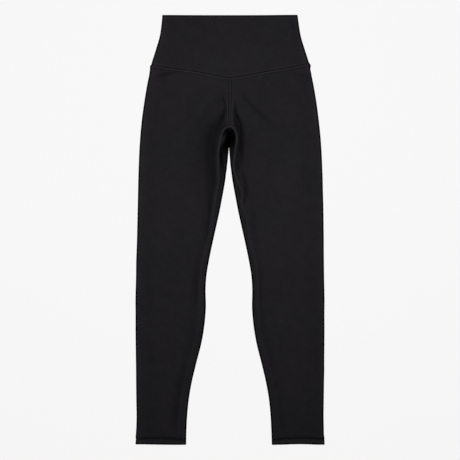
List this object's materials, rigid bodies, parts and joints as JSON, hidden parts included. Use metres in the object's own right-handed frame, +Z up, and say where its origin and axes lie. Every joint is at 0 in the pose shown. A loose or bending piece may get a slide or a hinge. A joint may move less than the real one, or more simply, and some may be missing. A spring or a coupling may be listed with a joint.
{
  "type": "high-rise leggings laid flat",
  "caption": "High-rise cropped leggings laid flat, front up: wide waistband with a pointed lower edge, seamless hips, curved crotch gusset and turned-up hems.",
  "frame": {"origin": "middle of the width and length, on the surface that the garment lies on, between the legs", "axes": "+Y towards the waist edge, +X towards the wearer's left, +Z up, out of the garment's front"},
  "size_m": [0.387, 0.8806, 0.0061],
  "materials": {
    "leg_knit": "matt brushed charcoal-black stretch knit with a soft nap",
    "waistband_knit": "matt brushed charcoal-black stretch knit, two layers, smooth at the waist edge",
    "gusset_knit": "matt black stretch knit, in shade under the crotch arch"
  },
  "bodies": {
    "root": {"waistband_front": "waistband_knit", "waistband_back": "waistband_knit", "leg_right": "leg_knit", "leg_left": "leg_knit", "gusset": "gusset_knit"}
  },
  "joints": []
}
